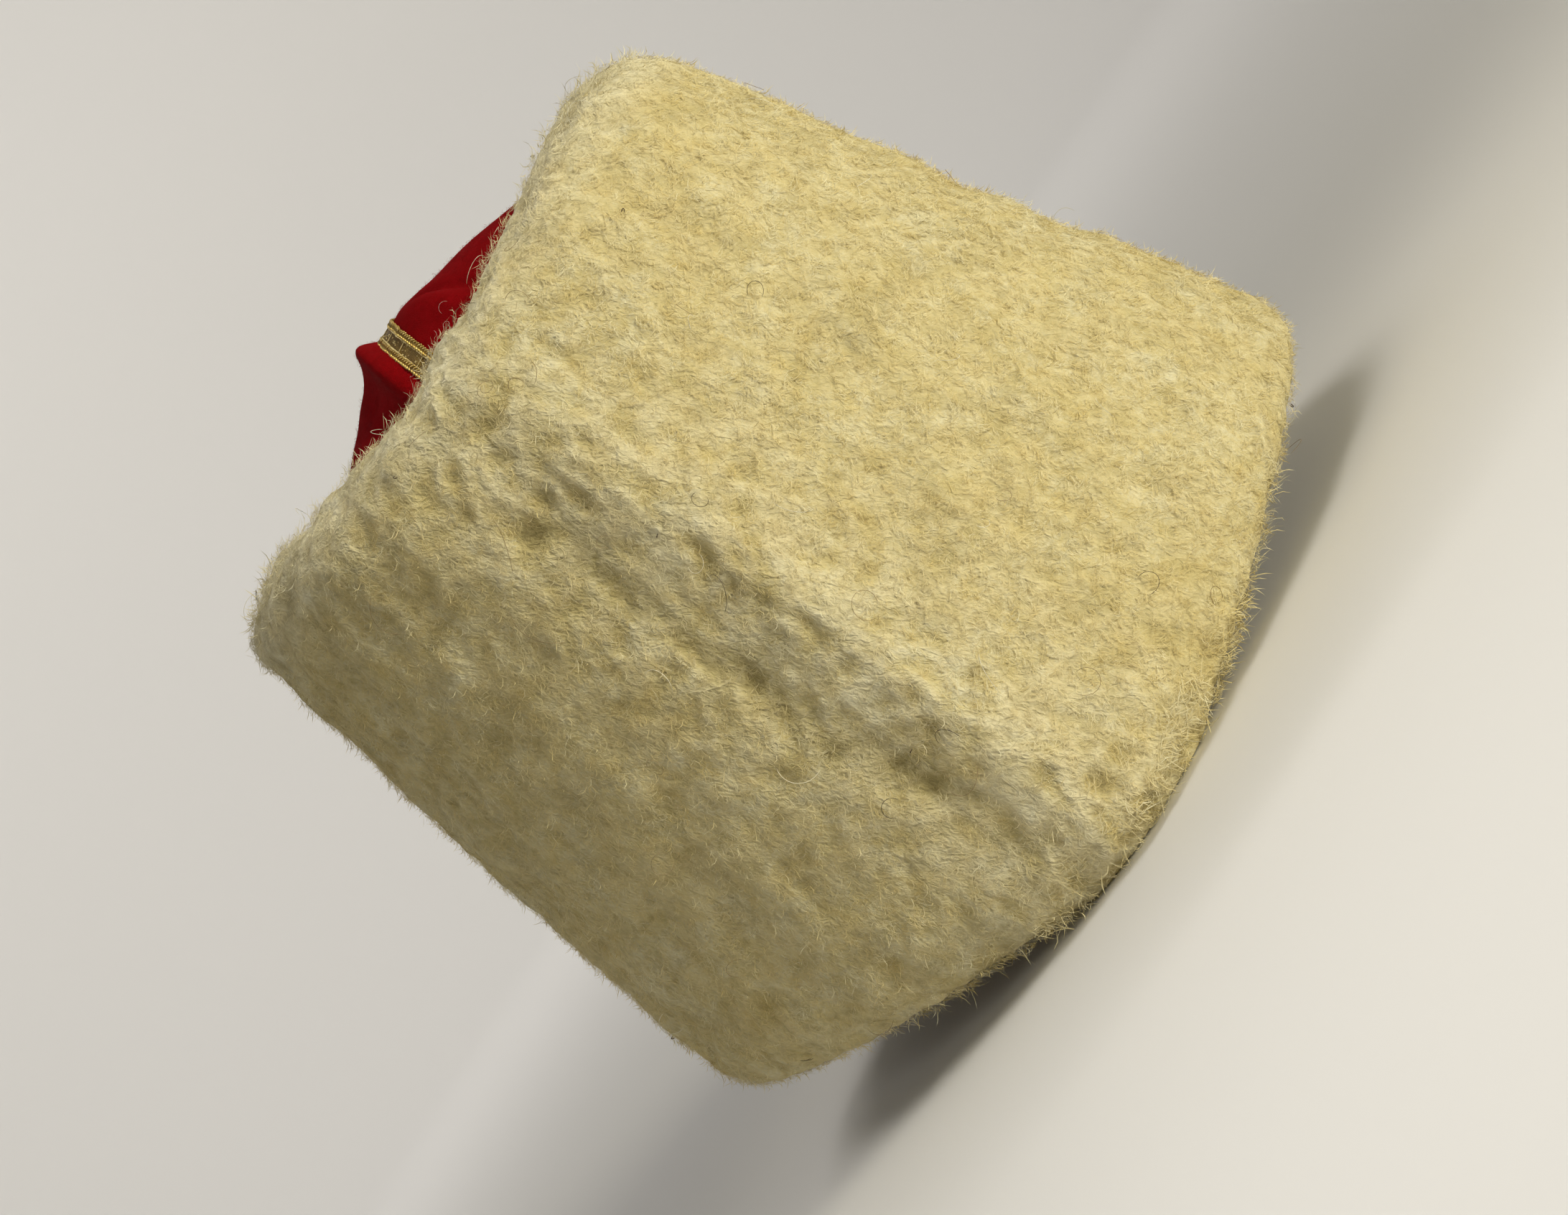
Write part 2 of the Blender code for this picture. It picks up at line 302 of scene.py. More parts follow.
def makeFibreGrain():
    tree, given, result = newTree("fibreGrain", 'ShaderNodeTree', [
        ("Scale", 'Float', 900.0),
        ("Swirl", 'Float', 1.5),
        ("Finer", 'Float', 2.7),
    ], [("Height", 'Float')])
    place = objectPlace(tree)
    coarse = addNoise(tree, place, given["Scale"], Detail=4.0, Roughness=0.7, Distortion=given["Swirl"])
    fine = addNoise(tree, place, addMath(tree, 'MULTIPLY', given["Scale"], given["Finer"]), Detail=1.0)
    link(tree, addMath(tree, 'ADD', coarse, fine), result["Height"])
    return tree


# Wisps drawn out along the way that the wool falls, with a mask of the gaps between them for painted shade
def makeWoolWisps():
    tree, given, result = newTree("woolWisps", 'ShaderNodeTree', [
        ("Scale", 'Float', 380.0),
        ("Way", 'Vector', (0.0, -0.54, -0.84)),
        ("Stretch", 'Float', 0.40),
        ("Gap Start", 'Float', 0.56),
        ("Gap End", 'Float', 0.40),
    ], [("Height", 'Float'), ("Gap", 'Float')])
    place = objectPlace(tree)
    along = addVector(tree, 'DOT_PRODUCT', place, given["Way"])
    pulled = addMath(tree, 'MULTIPLY', along, given["Stretch"])
    spot = addVector(tree, 'SUBTRACT', place, addVector(tree, 'SCALE', given["Way"], Scale=pulled))
    total = 0.0
    layers = ((0.42, 0.36, 0.6), (1.0, 0.40, 1.2), (3.1, 0.24, 0.8))      # scale, share, distortion
    for factor, share, distortion in layers:
        scale = addMath(tree, 'MULTIPLY', given["Scale"], factor)
        layer = addNoise(tree, spot, scale, Detail=1.5, Roughness=0.6, Distortion=distortion)
        total = addMath(tree, 'MULTIPLY_ADD', layer, share, total)
    gap = addNode(tree, 'ShaderNodeMapRange', {"Value": total, "From Min": given["Gap Start"],
                                               "From Max": given["Gap End"]})
    link(tree, total, result["Height"])
    link(tree, gap.outputs["Result"], result["Gap"])
    return tree


makeCamera()
makeStage()
makeLights()
tintedFibre = makeTintedFibre()
fibreGrain = makeFibreGrain()
woolWisps = makeWoolWisps()


def placeGroup(tree, group, **values):
    inputs = {name.replace("_", " "): (*value, 1) if isinstance(value, tuple) else value
              for name, value in values.items()}
    return addNode(tree, 'ShaderNodeGroup', inputs, node_tree=group)


# Colour from three tints, pale, middle and deep, at the scales of patch, clump and fleck
def addTint(tree, tints, scales, contrast=4.0, shift=0.0):
    pale, middle, deep = tints
    patch, clump, fleck = scales
    return placeGroup(tree, tintedFibre, Pale=pale, Middle=middle, Deep=deep, Patch_Scale=patch,
                      Clump_Scale=clump, Fleck_Scale=fleck, Contrast=contrast, Shift=shift).outputs["Color"]


def addBump(tree, shader, height, distance):
    bump = addNode(tree, 'ShaderNodeBump', {"Distance": distance, "Strength": 1.0, "Height": height})
    link(tree, bump.outputs["Normal"], shader.inputs["Normal"])


# A tinted material, with a grain given as scale, swirl and height
def tintedMaterial(name, tints, scales, contrast=4.0, grain=None, **values):
    material, tree, shader = newMaterial(name, **values)
    link(tree, addTint(tree, tints, scales, contrast), shader.inputs["Base Color"])
    if grain:
        scale, swirl, rise = grain
        height = placeGroup(tree, fibreGrain, Scale=scale, Swirl=swirl).outputs["Height"]
        addBump(tree, shader, height, rise)
    return material


def attributeOf(tree, name, part="Fac"):
    return addNode(tree, 'ShaderNodeAttribute', attribute_name=name).outputs[part]


def scaled(colour, share):
    return tuple(min(1, value * share) for value in colour)


# Wool: colours of the body of the fleece and of its fibres
woolSet = {
    "tints": ((0.90, 0.84, 0.57), (0.83, 0.71, 0.36), (0.75, 0.61, 0.26)),
    # hollow: colour of painted shade in clump hollows, the side groove, wisp gaps and fibre roots
    "hollow": (0.40, 0.33, 0.14),
    "bloom": (0.92, 0.87, 0.66),       # painted highlight on the tops of clumps, and paler wool along the top edge
    "scales": (42.0, 170.0, 1500.0),
    "contrast": 6.0,
    "fibreSpread": 0.10,     # difference between one fibre and the next
    "lockSpread": 0.26,      # and between one lock and the next
    "rootShade": 0.14,
    "shine": 0.3,
    "bodyShade": 0.84,       # painted shade: the body between the locks is this much darker
    "wispScale": 380.0,
    "wispRise": 0.0020,
    "bodyGapShade": 0.44,         # painted shade in the gaps between wisps on the body
    "fibreGapShade": 0.22,        # and on the fibres
    "skinShare": 0.20,       # how far a fibre is shaded like the skin beneath it
}
hideSet = {
    "tints": ((0.62, 0.52, 0.40), (0.56, 0.45, 0.32), (0.48, 0.37, 0.25)),
    "scales": (30.0, 200.0, 2000.0),
    "contrast": 3.0,
    "grain": (1600.0, 0.4, 0.0003),
}


# Painted highlight and paler edge wool over a tint, painted shade in hollows and in the gaps between wisps,
# and the height of the wisps
def woolColour(tree, tint, look, depth, gapShade):
    colour = colourMix(tree, attributeOf(tree, "bloom"), tint, look["bloom"])
    wisps = placeGroup(tree, woolWisps, Scale=woolSet["wispScale"])
    shadeShare = addMath(tree, 'MULTIPLY_ADD', wisps.outputs["Gap"], gapShade, depth, clamp=True)
    return colourMix(tree, shadeShare, colour, look["hollow"]), wisps.outputs["Height"]


def makeWoolBodyMaterial():
    material, tree, shader = newMaterial("creamWoolBody", Roughness=0.95)
    tints = [scaled(colour, woolSet["bodyShade"]) for colour in woolSet["tints"]]
    tint = addTint(tree, tints, woolSet["scales"], woolSet["contrast"])
    colour, height = woolColour(tree, tint, woolSet, attributeOf(tree, "hollow"), woolSet["bodyGapShade"])
    link(tree, colour, shader.inputs["Base Color"])
    addBump(tree, shader, height, woolSet["wispRise"])
    return material


def makeFibreMaterial(name, look):
    material, tree, shader = newMaterial(name, Roughness=0.8, Specular_IOR_Level=look["shine"])
    spread, lockSpread, root = look["fibreSpread"], woolSet["lockSpread"], look["rootShade"]
    own = addMath(tree, 'MULTIPLY_ADD', attributeOf(tree, "tone"), spread, -(spread + lockSpread) / 2)
    shift = addMath(tree, 'MULTIPLY_ADD', attributeOf(tree, "lock"), lockSpread, own)
    tint = addTint(tree, look["tints"], woolSet["scales"], look["contrast"], shift)
    # Painted shade: darker towards each fibre's root, and where the skin beneath has painted shade
    low = addMath(tree, 'MULTIPLY_ADD', attributeOf(tree, "along"), -root, root)
    depth = addMath(tree, 'MAXIMUM', low, attributeOf(tree, "hollow"))
    link(tree, woolColour(tree, tint, look, depth, look["fibreGapShade"])[0], shader.inputs["Base Color"])
    normal = addNode(tree, 'ShaderNodeNewGeometry').outputs["Normal"]
    skin = addNode(tree, 'ShaderNodeMix', {0: woolSet["skinShare"], 4: normal,
                                           5: attributeOf(tree, "skin", "Vector")}, data_type='VECTOR')
    link(tree, addVector(tree, 'NORMALIZE', skin.outputs[1]), shader.inputs["Normal"])
    return material


def makeHideMaterial():
    return tintedMaterial("tannedHide", **hideSet, Roughness=0.9)


# Body of the fleece: the wall's form with clumps of wool, sunk a little so that the fibres end at its face
fleeceSet = {
    "levels": 2,
    "sink": 0.0017,
    "rest": 0.0003,          # lowest place of the body and its fibres
    "floorFade": (0.0001, 0.0016),
    "clump": 0.0062,         # width of a clump
    "clumpRise": 0.0006,     # on the plain front and back
    "clumpSharp": 2.2,
    "clumpFall": 0.85,       # how far clumps are drawn out downwards
    "swirl": 0.35,
    "swirlWidth": 0.02,
    "fineClump": 0.0034,
    "fineRise": 0.00045,
    "creaseY": 0.006,
    "creaseRise": 0.0011,    # height of the clumps near the side creases
    "creaseReach": 0.028,
    "ease": 0.5,             # how far the wall's own clumps are smoothed near the creases
    "easeSteps": 4,
    "easeHeights": (0.015, 0.168),
    "easeFacing": 0.04,
    "groove": 0.018,         # a hollow runs down each side this far behind the middle
    "grooveWidth": 0.0052,
    "grooveDrop": 0.0020,
    "grooveWander": 0.003,
    "grooveWave": 0.022,
    "grooveFoot": (0.006, 0.03),
    "grooveHead": (0.132, 0.150),
    "grooveBreak": 0.010,    # size of the breaks in the hollow
    "clothTop": 0.160,       # the inside is bare hide below this height
    "halfSize": (0.1, 0.115),
    "inward": -0.25,         # a face that turns in further than this is on the inside
    "level": 0.75,           # and one that is flatter than this is not
    "edgeBloom": (0.164, 0.182),
    "edgeBand": (0.168, 0.182),
    "edgeRise": 0.0014,      # the top edge stands proud in soft bumps
    "edgeBump": 0.013,       # width of a bump
    "rimReach": 0.6,         # longer locks along the rim
    "rimBand": (0.004, 0.016),
    "topReach": 0.40,        # and along the top edge
    "topBand": (0.172, 0.184),
    # painted shade: its greatest amount, and how much the side groove gets
    "paintedShadeMost": 0.85,
    "grooveShade": 0.65,
    "bareShare": 0.3,        # a face with less wool than this is hide
    "hideFrom": 0.004,
}


def hump(distance, width):
    return math.exp(-(distance / width) ** 2)


def nearCrease(point):
    return hump(point.y - fleeceSet["creaseY"], fleeceSet["creaseReach"])


def clumpHeight(point):
    fall = Vector((point.x, point.y, point.z * fleeceSet["clumpFall"]))
    swirl = noise.noise_vector(fall / fleeceSet["swirlWidth"]) * fleeceSet["swirl"]
    coarse = 1 - fleeceSet["clumpSharp"] * abs(noise.noise(fall / fleeceSet["clump"] + swirl))
    fine = noise.noise(fall / fleeceSet["fineClump"] + swirl)
    crease = nearCrease(point)
    rise = fleeceSet["clumpRise"] * (1 - crease) + fleeceSet["creaseRise"] * crease
    return rise * coarse + fleeceSet["fineRise"] * fine, coarse


def grooveShare(point):
    wander = noise.noise(Vector((0.3, 0.7, point.z / fleeceSet["grooveWave"])))
    middle = fleeceSet["groove"] + fleeceSet["grooveWander"] * wander
    reach = fade(point.z, *fleeceSet["grooveFoot"]) * (1 - fade(point.z, *fleeceSet["grooveHead"]))
    spot = Vector((point.x, point.y, point.z * 0.8)) / fleeceSet["grooveBreak"]
    broken = 0.65 + 0.5 * noise.noise(spot)
    return reach * hump(point.y - middle, fleeceSet["grooveWidth"]) * min(1.0, max(0.2, broken))


def easeCrease(mesh):
    low, high = fleeceSet["easeHeights"]
    bm = bmesh.new()
    bm.from_mesh(mesh)
    for _ in range(fleeceSet["easeSteps"]):
        bm.normal_update()
        moved = []
        for vert in bm.verts:
            if vert.normal.x * vert.co.x > fleeceSet["easeFacing"] and low < vert.co.z < high:
                near = [edge.other_vert(vert).co for edge in vert.link_edges]
                middle = sum(near, Vector()) / len(near)
                moved.append((vert, vert.co.lerp(middle, fleeceSet["ease"] * nearCrease(vert.co))))
        for vert, place in moved:
            vert.co = place
    bm.to_mesh(mesh)
    bm.free()
    return mesh


def isInside(point, normal, crownTree):
    halfX, halfY = fleeceSet["halfSize"]
    outward = normal.x * point.x / halfX + normal.y * point.y / halfY
    if outward > fleeceSet["inward"] or abs(normal.z) > fleeceSet["level"]:
        return False
    if point.z < fleeceSet["clothTop"]:
        return True
    return crownTree.ray_cast(point + normal * 0.0006, Vector((0, 0, 1)))[0] is not None


def addLayer(mesh, name, values):
    layer = mesh.attributes.new(name, 'FLOAT', 'POINT')
    layer.data.foreach_set("value", values)


def makeFleeceBody(wool, hide, crownTree):
    mesh = subdivided("fleece_body", easeCrease(mergedCopy("fleece_wall")), fleeceSet["levels"])
    normals = [vert.normal.copy() for vert in mesh.vertices]
    cover, paintedShades, blooms, reaches, places = [], [], [], [], []
    for vert, normal in zip(mesh.vertices, normals):
        point = vert.co.copy()
        share = 0.0 if isInside(point, normal, crownTree) else fade(point.z, *fleeceSet["floorFade"])
        height, coarse = clumpHeight(point)
        groove, crease = grooveShare(point), nearCrease(point)
        height -= groove * fleeceSet["grooveDrop"]
        bump = 0.6 + 1.4 * noise.noise(point / fleeceSet["edgeBump"])
        height += fleeceSet["edgeRise"] * bump * fade(point.z, *fleeceSet["edgeBand"])
        # Painted shade in the hollows between clumps, stronger near the side creases, and along the groove
        hollow = fade(-coarse, -0.15, 0.75) * 0.60 * (0.2 + 0.8 * crease)
        # Painted highlight on the clump tops, stronger near the creases, and paler wool along the top edge
        edge = fade(point.z, *fleeceSet["edgeBloom"])
        bloom = fade(coarse, 0.1, 0.9) * (0.12 + 0.34 * crease) + 0.55 * edge
        cover.append(share)
        paintedShades.append(share * min(fleeceSet["paintedShadeMost"], hollow + fleeceSet["grooveShade"] * groove))
        blooms.append(min(1.0, bloom))
        reaches.append(1 + fleeceSet["rimReach"] * (1 - fade(point.z, *fleeceSet["rimBand"]))
                       + fleeceSet["topReach"] * fade(point.z, *fleeceSet["topBand"]))
        point += normal * share * (height - fleeceSet["sink"])
        places += (point.x, point.y, max(point.z, fleeceSet["rest"]))
    mesh.vertices.foreach_set("co", places)
    for name, values in (("cover", cover), ("hollow", paintedShades), ("bloom", blooms), ("reach", reaches)):
        addLayer(mesh, name, values)
    mesh.materials.append(wool)
    mesh.materials.append(hide)
    for face in mesh.polygons:
        bare = sum(cover[i] for i in face.vertices) / len(face.vertices) < fleeceSet["bareShare"]
        face.material_index = int(bare and face.center.z > fleeceSet["hideFrom"])
    mesh.shade_smooth()
    mesh.update()
    body = meshObject("fleece_body", mesh)
    print("fleece body:", triangleCount(mesh), "triangles")
    return body


# Geometry Nodes that set tufts, beads and nap on a surface

def readLayer(tree, name, kind='FLOAT'):
    node = addNode(tree, 'GeometryNodeInputNamedAttribute', {"Name": name}, data_type=kind)
    return node.outputs["Attribute"]


def keepLayer(tree, points, name, kind, value):
    inputs = {"Geometry": points, "Name": name, "Value": value}
    return addNode(tree, 'GeometryNodeStoreNamedAttribute', inputs, data_type=kind, domain='POINT').outputs[0]


def alignedTo(tree, axis, way, rotation=None, pivot='AUTO'):
    inputs = {"Vector": way} if rotation is None else {"Vector": way, "Rotation": rotation}
    return addNode(tree, 'FunctionNodeAlignRotationToVector', inputs, axis=axis, pivot_axis=pivot).outputs[0]


def turnedBy(tree, rotation, angles):
    turn = addNode(tree, 'FunctionNodeEulerToRotation', {0: angles}).outputs[0]
    return addNode(tree, 'FunctionNodeRotateRotation', {0: rotation, 1: turn},
                   rotation_space='LOCAL').outputs[0]


def randomSize(tree, given):
    inputs = {2: given["Least Size"], 3: given["Most Size"], "Seed": given["Seed"]}
    return addNode(tree, 'FunctionNodeRandomValue', inputs, data_type='FLOAT').outputs[1]


# Instances on the points, made real and given their material
def setInstances(tree, given, result, points, **values):
    inputs = {name.replace("_", " "): value for name, value in values.items()}
    setOn = addNode(tree, 'GeometryNodeInstanceOnPoints', {"Points": points} | inputs)
    real = addNode(tree, 'GeometryNodeRealizeInstances', {0: setOn.outputs[0]})
    finish = addNode(tree, 'GeometryNodeSetMaterial', {"Geometry": real.outputs[0],
                                                       "Material": given["Material"]})
    link(tree, finish.outputs[0], result["Geometry"])


def makeTuftTree():
    tree, given, result = newTree("tuftsOnSurface", 'GeometryNodeTree', [
        ("Geometry", 'Geometry'),
        ("Tufts", 'Collection'),
        ("Material", 'Material'),
        ("Density", 'Float', 1.0),
        ("Side X", 'Float', 0.0),
        ("Side Y", 'Float', 0.0),
        ("Fall", 'Float', 0.3),
        ("Stray", 'Float', 0.5),
        ("Swirl Scale", 'Float', 90.0),
        ("Comb", 'Vector', (0.0, -0.5, -1.0)),
        ("Turn", 'Float', 1.0),
        ("Tip", 'Float', 0.25),
        ("Least Size", 'Float', 0.7),
        ("Most Size", 'Float', 1.2),
        ("Seed", 'Int', 1),
    ], [("Geometry", 'Geometry')])
    # Points on the covered faces of one side
    place = addNode(tree, 'GeometryNodeInputPosition').outputs[0]
    parts = addNode(tree, 'ShaderNodeSeparateXYZ', {0: place}).outputs
    sides = [addMath(tree, 'MULTIPLY', parts[axis], given["Side " + axis]) for axis in "XY"]
    checks = [addNode(tree, 'FunctionNodeCompare', {0: side, 1: 0.0}, data_type='FLOAT',
                      operation='GREATER_EQUAL').outputs[0] for side in sides]
    here = addNode(tree, 'FunctionNodeBooleanMath', dict(enumerate(checks)), operation='AND').outputs[0]
    density = addMath(tree, 'MULTIPLY', given["Density"], readLayer(tree, "cover"))
    scatter = addNode(tree, 'GeometryNodeDistributePointsOnFaces', {
        "Mesh": given["Geometry"], "Selection": here, "Density": density, "Seed": given["Seed"]})
    normal = scatter.outputs["Normal"]
    # Each tuft stands on the surface, leans downwards, is combed one way and strays from it
    swirl = addNode(tree, 'ShaderNodeTexNoise', {"Scale": given["Swirl Scale"], "Detail": 2.0})
    centred = addVector(tree, 'SUBTRACT', swirl.outputs["Color"], (0.5, 0.5, 0.5))
    strayed = addVector(tree, 'SCALE', centred, Scale=given["Stray"])
    down = addNode(tree, 'ShaderNodeCombineXYZ', {"Z": addMath(tree, 'MULTIPLY', given["Fall"], -1.0)})
    lean = addVector(tree, 'ADD', strayed, down.outputs[0])
    stand = alignedTo(tree, 'Z', addVector(tree, 'ADD', normal, lean))
    combed = alignedTo(tree, 'X', addVector(tree, 'ADD', given["Comb"], strayed), stand, 'Z')
    most = addNode(tree, 'ShaderNodeCombineXYZ', {"X": given["Tip"], "Y": given["Tip"],
                                                  "Z": given["Turn"]}).outputs[0]
    least = addVector(tree, 'SCALE', most, Scale=-1.0)
    spin = addNode(tree, 'FunctionNodeRandomValue', {"Min": least, "Max": most, "Seed": given["Seed"]},
                   data_type='FLOAT_VECTOR')
    turned = turnedBy(tree, combed, spin.outputs[0])
    size = addMath(tree, 'MULTIPLY', randomSize(tree, given), readLayer(tree, "reach"))
    kinds = addNode(tree, 'GeometryNodeCollectionInfo', {
        "Collection": given["Tufts"], "Separate Children": True, "Reset Children": True})
    which = addNode(tree, 'FunctionNodeRandomValue', {4: 0, 5: tuftKinds - 1, "Seed": given["Seed"]},
                    data_type='INT')
    # Each fibre keeps the way that its skin faces and its lock's own tone
    tilt = addVector(tree, 'MULTIPLY_ADD', lean, (0.35, 0.35, 0.35), normal)
    kept = keepLayer(tree, scatter.outputs["Points"], "skin", 'FLOAT_VECTOR',
                     addVector(tree, 'NORMALIZE', tilt))
    chance = addNode(tree, 'FunctionNodeRandomValue', {"Seed": 7}, data_type='FLOAT').outputs[1]
    kept = keepLayer(tree, kept, "lock", 'FLOAT', chance)
    setInstances(tree, given, result, kept, Instance=kinds.outputs[0], Pick_Instance=True,
                 Instance_Index=which.outputs[2], Rotation=turned, Scale=size)
    return tree


def grow(name, surface, tree, values):
    carrier = linkObject(bpy.data.objects.new(name + "_carrier", surface.data))
    modifier = carrier.modifiers.new("grow", 'NODES')
    modifier.node_group = tree
    names = {item.name: item.identifier for item in tree.interface.items_tree
             if item.item_type == 'SOCKET' and item.in_out == 'INPUT'}
    for label, value in values.items():
        modifier[names[label]] = value
    mesh = evaluatedMesh(carrier)
    bpy.data.objects.remove(carrier)
    mesh.name = name
    places = np.empty(len(mesh.vertices) * 3, dtype=np.float32)
    mesh.vertices.foreach_get("co", places)
    places = places.reshape(-1, 3)
    # What would sink into the floor splays out on it
    under = np.maximum(0.0, fleeceSet["rest"] - places[:, 2])
    outward = places[:, :2] / np.linalg.norm(places[:, :2], axis=1, keepdims=True)
    places[:, :2] += outward * under[:, None] * growthSet["splay"]
    places[:, 2] += under * growthSet["lift"]
    mesh.vertices.foreach_set("co", places.ravel())
    mesh.update()
    piece = meshObject(name, mesh)
    print(name + ":", triangleCount(mesh), "triangles")
    return piece


# One lock: a few curled fibres that spring from a small patch, lean one way and gather at the tip
tuftKinds = 6
tuftSet = {
    "long": 2,               # fibres in three segments
    "short": 5,              # fibres in two
    "spread": 0.0009,        # radius of the patch
    "gather": 0.45,
    "fan": 0.60,             # how far a fibre turns from the others
    "length": 0.0038,
    "shortShare": 0.72,
    "start": (0.0, 0.0006),  # lowest and highest start above the body
    "lift": (0.12, 0.46),    # how steeply they leave it, 0 flat and 1 upright
    "curl": 2.0,
    "width": 0.00013,
}
napSet = {
    "long": 0,
    "short": 5,
    "spread": 0.0010,
    "gather": 0.0,
    "fan": 3.0,
    "length": 0.0014,
    "shortShare": 0.7,
    "start": (0.0, 0.0001),
    "lift": (0.1, 0.45),
    "curl": 0.8,
    "width": 0.00009,
}


def bentFibre(dice, values, segments, length):
    angle, away = dice.uniform(0, 2 * math.pi), math.sqrt(dice.random()) * values["spread"]
    at = Vector((math.cos(angle) * away, math.sin(angle) * away, dice.uniform(*values["start"])))
    turn, lift = dice.gauss(0, values["fan"]), dice.uniform(*values["lift"])
    flat = math.sqrt(1 - lift * lift)
    ahead = Vector((math.cos(turn) * flat, math.sin(turn) * flat, lift))
    ahead -= Vector((0, at.y, 0)) * values["gather"] / length
    axis = Vector((dice.gauss(0, 0.5), dice.gauss(0, 0.5), dice.choice((-1, 1)))).normalized()
    bend = Matrix.Rotation(values["curl"] * dice.uniform(0.3, 1.2) / segments, 3, axis)
    line = [at.copy()]
    for _ in range(segments):
        at = at + ahead * length / segments
        line.append(at.copy())
        ahead = bend @ ahead
    return line


def makeTufts(name, values, seed):
    dice = random.Random(seed)
    group = bpy.data.collections.new(name)
    scene.collection.children.link(group)
    for kind in range(tuftKinds):
        points, faces, along, tones = [], [], [], []
        for fibre in range(values["long"] + values["short"]):
            isLong = fibre < values["long"]
            length = values["length"] * dice.uniform(0.7, 1.15) * (1 if isLong else values["shortShare"])
            line = bentFibre(dice, values, 3 if isLong else 2, length)
            start, tone = len(points), dice.random()
            turn = dice.uniform(0, math.pi)
            side = Vector((math.cos(turn), math.sin(turn), 0)) * values["width"] / 2
            points.append(line[0])
            for place in line[1:-1]:
                points += [place - side, place + side]
            points.append(line[-1])
            faces.append((start, start + 1, start + 2))
            if isLong:
                faces.append((start + 1, start + 3, start + 4, start + 2))
            faces.append((len(points) - 3, len(points) - 1, len(points) - 2))
            shares = [step / (len(line) - 1) for step in range(len(line))]
            along += [0.0] + [share for share in shares[1:-1] for _ in (0, 1)] + [1.0]
            tones += [tone] * (len(points) - start)
        mesh = bpy.data.meshes.new(f"{name}_{kind}")
        mesh.from_pydata(points, [], faces)
        addLayer(mesh, "along", along)
        addLayer(mesh, "tone", tones)
        group.objects.link(bpy.data.objects.new(mesh.name, mesh))
    return group


def removeGroup(group):
    for obj in list(group.objects):
        bpy.data.objects.remove(obj)
    bpy.data.collections.remove(group)


def belongs(pieces, node):
    for piece in pieces:
        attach(piece, "root")
        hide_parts(node)


# Wool fibres, grown in four quarters of the fleece
woolPieces = {
    # name: side in X, side in Y
    "wool_front_right": (-1.0, -1.0),
    "wool_front_left": (1.0, -1.0),
    "wool_back_right": (-1.0, 1.0),
    "wool_back_left": (1.0, 1.0),
}
growthSet = {
    "splay": 0.9,            # what meets the floor moves out and up by these shares
    "lift": 1.15,
    "firstSeed": 11,
    "wool": {
        "Density": 330000.0,     # tufts for each square metre
        "Fall": 0.30,
        "Stray": 1.6,
        "Swirl Scale": 120.0,
        "Comb": (0.0, -0.45, -0.7),
        "Turn": 1.5,
        "Least Size": 0.7,
        "Most Size": 1.2,
    },
    "nap": {
        "Density": 260000.0,
        "Side X": 0.0,
        "Side Y": 0.0,
        "Fall": 0.0,
        "Stray": 3.0,
        "Swirl Scale": 400.0,
        "Comb": (0.0, -1.0, 0.0),
        "Turn": math.pi,
        "Least Size": 0.7,
        "Most Size": 1.1,
        "Seed": 31,
    },
}


def makeFleece(tuftTree, crownTree):
    body = makeFleeceBody(makeWoolBodyMaterial(), makeHideMaterial(), crownTree)
    fibre = makeFibreMaterial("creamWoolFibre", woolSet)
    tufts = makeTufts("tufts", tuftSet, 5)
    pieces = [body]
    for seed, (name, (sideX, sideY)) in enumerate(woolPieces.items(), growthSet["firstSeed"]):
        values = {"Tufts": tufts, "Material": fibre, "Side X": sideX, "Side Y": sideY, "Seed": seed}
        pieces.append(grow(name, body, tuftTree, growthSet["wool"] | values))
    removeGroup(tufts)
    belongs(pieces, "fleece_wall")
    return body


# Red cloth crown, with a short nap
clothSet = {
    "tints": ((0.41, 0.003, 0.008), (0.30, 0.001, 0.003), (0.17, 0.0005, 0.0015)),
    "scales": (60.0, 500.0, 2200.0),
    "grain": (1900.0, 2.0, 0.0003),
    "levels": 1,
    "topFrom": 0.165,        # the cloth above this height is refined
    "facing": 0.05,          # and only where it faces up more than this
    "wrinkle": 0.00025,
    "wrinkleWidth": 0.011,
    "cut": (0.135, 0.155),   # flat size of the cloth before it is sewn in
    "cutArea": 0.0164,
}
napLook = {
    "tints": ((0.50, 0.008, 0.016), clothSet["tints"][0], clothSet["tints"][1]),
    # hollow: the red of painted shade at the nap's roots and in the gaps between wisps
    "hollow": clothSet["tints"][2],
    "bloom": (0.50, 0.008, 0.016),
    "contrast": 4.0,
    "fibreSpread": 0.2,
    "rootShade": 0.5,
    "shine": 0.05,
    "fibreGapShade": 0.3,
}
foldSet = {
    "reach": (0.0535, 0.065),            # half width and half length of the crown
    "middleY": 0.004,
    "edge": (0.82, 0.98),                # the folds end between these shares of the reach
    "pleatStart": (0.018, 0.0005),       # a pleat runs from here towards the fleece at each side
    "pleatEnd": (0.046, -0.0200),
    "pleatFadeIn": (-0.15, 0.4),
    "pleatFadeOut": (1.1, 1.5),
    "pleatRise": (0.0009, -0.0038, 0.0038),      # height, place across the pleat and width
    "pleatDrop": (0.0015, 0.0020, 0.0021),
    "tuckBehind": 0.0098,                # the roll behind the galloon ends at this distance from it
    "tuckSides": (0.008, 0.026),
    "tuckDrop": (0.0042, 0.0070, 0.0070),
    "tuckRise": (0.0007, -0.0022, 0.0022),
    "frontSides": (0.018, 0.036),
    "frontDrop": (0.0014, -0.0100, 0.0075),
}


def bandMiddle(x):
    return galloonSet["middleY"] + galloonSet["slant"] * x


def makeRedCloth():
    return tintedMaterial("redCloth", clothSet["tints"], clothSet["scales"], grain=clothSet["grain"],
                          Roughness=0.95, Sheen_Weight=0.015, Sheen_Tint=(0.9, 0.2, 0.2, 1),
                          Specular_IOR_Level=0.05)


# Height of one fold at a distance across it
def foldAt(name, distance):
    height, middle, width = foldSet[name]
    return height * hump(distance - middle, width)


